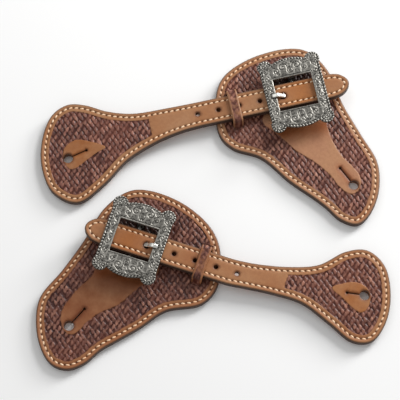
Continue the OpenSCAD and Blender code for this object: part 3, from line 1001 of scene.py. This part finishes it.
def spiral(x, y, r, start, turns, shrink=0.12, count=26):
    """A scroll that winds inwards from radius r round (x, y), starting at an angle in degrees."""
    t = np.linspace(0, 1, count)
    a = math.radians(start) + 2 * math.pi * turns * t
    radius = r * (1 - (1 - shrink) * t)
    return np.stack([x + radius * np.cos(a), y + radius * np.sin(a)], 1)


def leaf(x, y, turn, length, bend):
    """A leaf's two edges and its vein, turned by an angle in degrees."""
    t = np.linspace(0, 1, 9)
    c, n = math.cos(math.radians(turn)), math.sin(math.radians(turn))
    out = []
    for side in (-1, 0, 1):
        px = t * length
        py = bend * t ** 2 * length + side * 0.24 * length * np.sin(math.pi * t)
        out.append(np.stack([x + c * px - n * py, y + n * px + c * py], 1))
    return out


def engraving():
    """The lines cut in the frame's face: scrolls on its sides and a fan on each lobe."""
    lines = []
    for fy in (-1, 1):
        for fx in (-1, 1):
            flip = np.array([fx, fy])
            part = [spiral(5.2, 20.6, 3.6, 200, -1.4),
                    spiral(10.6, 18.0, 2.5, 80, 1.3),
                    spiral(18.2, 6.6, 2.5, 250, -1.3),
                    spiral(18.2, 13.4, 2.4, 110, 1.3)]
            part += leaf(0.6, 15.2, 78, 5.2, 0.25)
            part += leaf(1.2, 23.6, 12, 4.6, -0.3)
            part += leaf(8.8, 23.2, -38, 4.2, 0.3)
            part += leaf(8.2, 15.0, 40, 3.4, 0.35)
            part += leaf(16.2, 0.4, 62, 4.0, 0.35)
            part += leaf(20.4, 1.6, 100, 3.8, -0.3)
            part += leaf(16.0, 9.6, 58, 3.4, 0.2)
            for k in range(7):
                part += leaf(LOBE_X - 1.2, LOBE_Y - 1.6, -62 + 34 * k, 4.6, 0.1)[::2]
            lines += [p * flip for p in part]
    return lines


def frame_face(points, outline, opening):
    """Height of the buckle's face above its flat back, and how dark its cuts are."""
    d, along = nearest(points, outline)
    inner = nearest(points, opening)[0]
    face = FRAME_T - 0.75 + 0.42 * np.sqrt(np.clip(np.minimum(d, inner + 1.0) / 4.5, 0, 1))
    bead = 0.5 + 0.5 * np.cos(2 * math.pi * (along + 0.5 * d) / BEAD_PITCH)
    rope = np.sqrt(np.clip(1 - ((d - BEAD_AT) / BEAD_R) ** 2, 0, 1)) * (0.35 + 0.65 * bead)
    near = np.full(len(points), 9.0)
    for line in engraving():
        low, high = line.min(0) - 1, line.max(0) + 1
        close = np.all((points > low) & (points < high), axis=1)
        if close.any():
            near[close] = np.minimum(near[close], nearest(points[close], line, False)[0])
    field = smooth(d, 1.5, 1.9) * smooth(inner, 1.0, 1.4)
    cut = hump(near, SCROLL_LINE) * field
    swell = smooth(near, 0.2, 0.75) * (1 - smooth(near, 0.8, 1.5)) * field
    rim = np.sqrt(np.clip(1 - ((inner - RIM_AT) / RIM_HALF) ** 2, 0, 1))
    z = face - 0.32 * cut + 0.16 * swell
    z = np.where(d < 2 * BEAD_AT, FRAME_T - 1.15 + 0.85 * rope, z)
    z = np.where(inner < 1.15, FRAME_T - 0.95 + 0.55 * rim, z)
    trench = hump(d - 1.65, 0.22) + hump(inner - 1.3, 0.2)
    gaps = smooth(1 - bead, 0.5, 0.85) * (d < 1.7)
    notch = ((np.abs(points[:, 1]) < NOTCH_W / 2) & (points[:, 0] < -OPENING[0] + 0.5)
             & (points[:, 0] > POINT_X - NOTCH_RUN))
    z = np.where(notch, FRAME_T - NOTCH_DEPTH, z)
    ground = smooth(near, 1.5, 2.6) * field
    cuts = np.clip(0.95 * cut + 0.7 * trench + 0.9 * gaps + 0.5 * ground, 0, 1)
    return z, {"cut": np.where(notch, NOTCH_TARNISH, cuts)}


def frame_piece(s):
    side = SIDES[s]
    angles = np.linspace(0, 2 * math.pi, 1440, endpoint=False)
    radial = np.array([frame_radius(a) for a in angles])
    outline = resample(np.stack([radial * np.cos(angles), radial * np.sin(angles)], 1), 0.36)
    opening = rectangle(-OPENING[0], OPENING[0], -OPENING[1], OPENING[1], 0.7)
    loops = [outline, opening]
    grid = honeycomb(outline, FRAME_GRID)
    grid = grid[(signed(grid, outline) > 1.7) & (signed(grid, opening) < -0.9)]
    rings = ring_points(outline, OUTER_RINGS)
    rim = np.vstack([inset(opening, -d) for d in INNER_RINGS])
    extra = np.vstack([grid, rings, rim])

    def height(p):
        return frame_face(p, outline, opening)

    flat_loops = [inset(outline, 0.35), inset(opening, -0.2)]
    points, faces, marks = slab(loops, extra, height, flat_loops, 0.0)
    points[:, 2] += FRAME_Z
    marks["cut"][points[:, 2] < FRAME_Z + 0.01] = BACK_TARNISH
    for sign in (-1, 1):
        more, more_faces = lug(sign)
        faces += [tuple(i + len(points) for i in f) for f in more_faces]
        points = np.vstack([points, more])
        marks["cut"] = np.concatenate([marks["cut"], np.full(len(more), LUG_TARNISH)])
    piece = make_piece(f"{side}_buckle_engraved", f"{side}_buckle",
                       MATERIALS["silver"], on_billet(s, points), faces, {"cut": marks["cut"]},
                       sharp=55)
    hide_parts(f"{side}_buckle_frame")


def lug(sign):
    """A lug that carries the bar, with a softened edge and a hole."""
    around = 28
    a = np.arange(around) * 2 * math.pi / around
    hole = np.stack([BAR_R * np.cos(a), BAR_R * np.sin(a)], 1)
    rim = np.stack([LOOP_R * np.cos(a), np.where(np.sin(a) > 0, 0, LOOP_R * np.sin(a))], 1)
    top = FRAME_Z - BAR_Z + 0.4
    up = np.sin(a) >= 0
    rim[up] = np.stack([LOOP_R * np.clip(np.cos(a[up]) * 1.45, -1, 1),
                        top * np.clip(np.sin(a[up]) * 1.45, 0, 1)], 1)
    y0, y1 = sorted((sign * LUG_Y[0], sign * LUG_Y[1]))
    rows = [(hole, y0), (rim * 0.93, y0), (rim, y0 + 0.25), (rim, y1 - 0.25), (rim * 0.93, y1),
            (hole, y1)]
    points = np.vstack([np.column_stack([r[:, 0], np.full(around, y), r[:, 1] + BAR_Z])
                        for r, y in rows])
    return points, skin(len(rows), around, closed=True)


def squared(v):
    """Pushes a circle's sine or cosine outwards, which makes it a square with round corners."""
    return np.sign(v) * np.abs(v) ** 0.42


def tongue_piece(s):
    """A bright tongue: an eye round the bar, a shank and a flattened, tapering point."""
    side = SIDES[s]
    bend = (BEND_X, BAR_Z - BEND_X * math.tan(SHANK_RISE))
    floor = FRAME_Z + FRAME_T - NOTCH_DEPTH + 0.05
    start = LOOP_R - 0.35
    knots = [(0, BAR_Z), (-start * math.cos(SHANK_RISE), BAR_Z + start * math.sin(SHANK_RISE)),
             (BEND_X / 2, BAR_Z - BEND_X / 2 * math.tan(SHANK_RISE)),
             (bend[0] + 1.2, bend[1] - 0.9), (bend[0] - 1.6, floor + 0.98),
             (POINT_X + 1.5, floor + 0.95), (POINT_X, floor + 0.8), (POINT_X - 1.5, floor + 0.6)]
    path = curve(knots, False, 8)
    out = normals(path)
    share = np.linspace(0, 1, len(path))
    around = 16
    a = np.arange(around) * 2 * math.pi / around
    points = []
    for (x, z), (nx, nz), t in zip(path, out, share):
        end = math.sqrt(max(0.05, 1 - max(0, (t - 0.9) / 0.1) ** 2))
        half_w = TONGUE_W / 2 * (1 - 0.1 * smooth(t, 0.6, 1.0)) * (0.45 + 0.55 * end)
        half_t = TONGUE_T / 2 * (1 - 0.28 * smooth(t, 0.6, 1.0)) * (0.3 + 0.7 * end)
        for c, n in zip(squared(np.cos(a)), squared(np.sin(a))):
            points.append((x + nx * n * half_t, c * half_w, z + nz * n * half_t))
    faces = skin(len(path), around)
    eye, eye_faces = tongue_eye()
    faces += [tuple(i + len(points) for i in f) for f in eye_faces]
    points = np.vstack([np.array(points), eye])
    piece = make_piece(f"{side}_tongue_bright", f"{side}_tongue",
                       MATERIALS["steel"], on_billet(s, points), faces, sharp=60)
    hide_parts(f"{side}_buckle_tongue")


def tongue_eye():
    """The eye that turns on the bar: a ring with rounded shoulders."""
    around = 32
    a = np.arange(around) * 2 * math.pi / around
    half = TONGUE_W / 2
    section = [(BAR_R + 0.06, -half), (LOOP_R - 0.3, -half), (LOOP_R, -half + 0.35),
               (LOOP_R, half - 0.35), (LOOP_R - 0.3, half), (BAR_R + 0.06, half)]
    points = np.array([(r * math.cos(t), y, BAR_Z + r * math.sin(t))
                       for t in a for r, y in section])
    return points, skin(around, len(section), closed=True)


# ---- stage ----

CAMERA_AIM = (-0.0092, 0.0043, 0)       # metres
CAMERA_RISE, CAMERA_AWAY = math.radians(70), 1.176
CAMERA_LENS, CAMERA_SENSOR = 147, 36    # millimetres
FLOOR_REACH, FLOOR_DROP = 3.0, 0.0002
WORLD_LIGHT = 0.42
LIGHTS = (                              # name, place in metres, diameter and power
    ("key", (0.75, 0.95, 0.85), 0.6, 12),
    ("low", (1.3, 1.05, 0.5), 0.5, 18),
    ("fill", (-0.5, 0.5, 1.3), 1.2, 2.5),
)


def floor_piece():
    """A plain white floor, a hair under the straps."""
    mesh = bpy.data.meshes.new("floor")
    r = FLOOR_REACH
    mesh.from_pydata([(-r, -r, 0), (r, -r, 0), (r, r, 0), (-r, r, 0)], [], [(0, 1, 2, 3)])
    n = Nodes("floor_paper")
    tone = n.mix(n.noise(3, 2), linear(253, 253, 252), linear(255, 255, 255))
    mesh.materials.append(n.finish(tone, 0.9, Specular_IOR_Level=0.1))
    floor = bpy.data.objects.new("floor", mesh)
    floor.location.z = -FLOOR_DROP
    bpy.context.scene.collection.objects.link(floor)


def area_light(name, at, size, power):
    """A round soft light that faces the middle of the pair."""
    light = bpy.data.lights.new(name, "AREA")
    light.shape = "DISK"
    light.size = size
    light.energy = power
    lamp = bpy.data.objects.new(name, light)
    lamp.location = at
    lamp.rotation_euler = (-Vector(at)).to_track_quat("-Z", "Y").to_euler()
    bpy.context.scene.collection.objects.link(lamp)


def studio():
    """Soft lights, a white surround, and colours shown as they are."""
    for name, at, size, power in LIGHTS:
        area_light(name, at, size, power)
    world = bpy.data.worlds.new("studio")
    bpy.context.scene.world = world
    world.use_nodes = True
    background = world.node_tree.nodes["Background"]
    background.inputs["Color"].default_value = (1, 1, 1, 1)
    background.inputs["Strength"].default_value = WORLD_LIGHT
    bpy.context.scene.view_settings.view_transform = "Standard"


def camera():
    """The viewing angle: from the front and well above, through a long lens."""
    target = Vector(CAMERA_AIM)
    lens = bpy.data.cameras.new("view")
    lens.lens = CAMERA_LENS
    lens.sensor_width = CAMERA_SENSOR
    eye = bpy.data.objects.new("view", lens)
    away = Vector((0, -math.cos(CAMERA_RISE), math.sin(CAMERA_RISE)))
    eye.location = target + CAMERA_AWAY * away
    eye.rotation_euler = (target - eye.location).to_track_quat("-Z", "Y").to_euler()
    bpy.context.scene.collection.objects.link(eye)
    bpy.context.scene.camera = eye


def cad_looks():
    """The CAD pieces that stay: chape, rivets and bar."""
    for side in SIDES:
        for node, key in (("chape", "chape"), ("chape_rivets", "brass"), ("buckle_bar", "steel")):
            for place in frame["nodes"][f"{side}_{node}"].material_slots:
                place.material = MATERIALS[key]


camera()
floor_piece()
studio()
for s in (RIGHT, LEFT):
    panel_piece(s)
    bridge_piece(s)
    billet_piece(s)
    frame_piece(s)
    tongue_piece(s)
cad_looks()
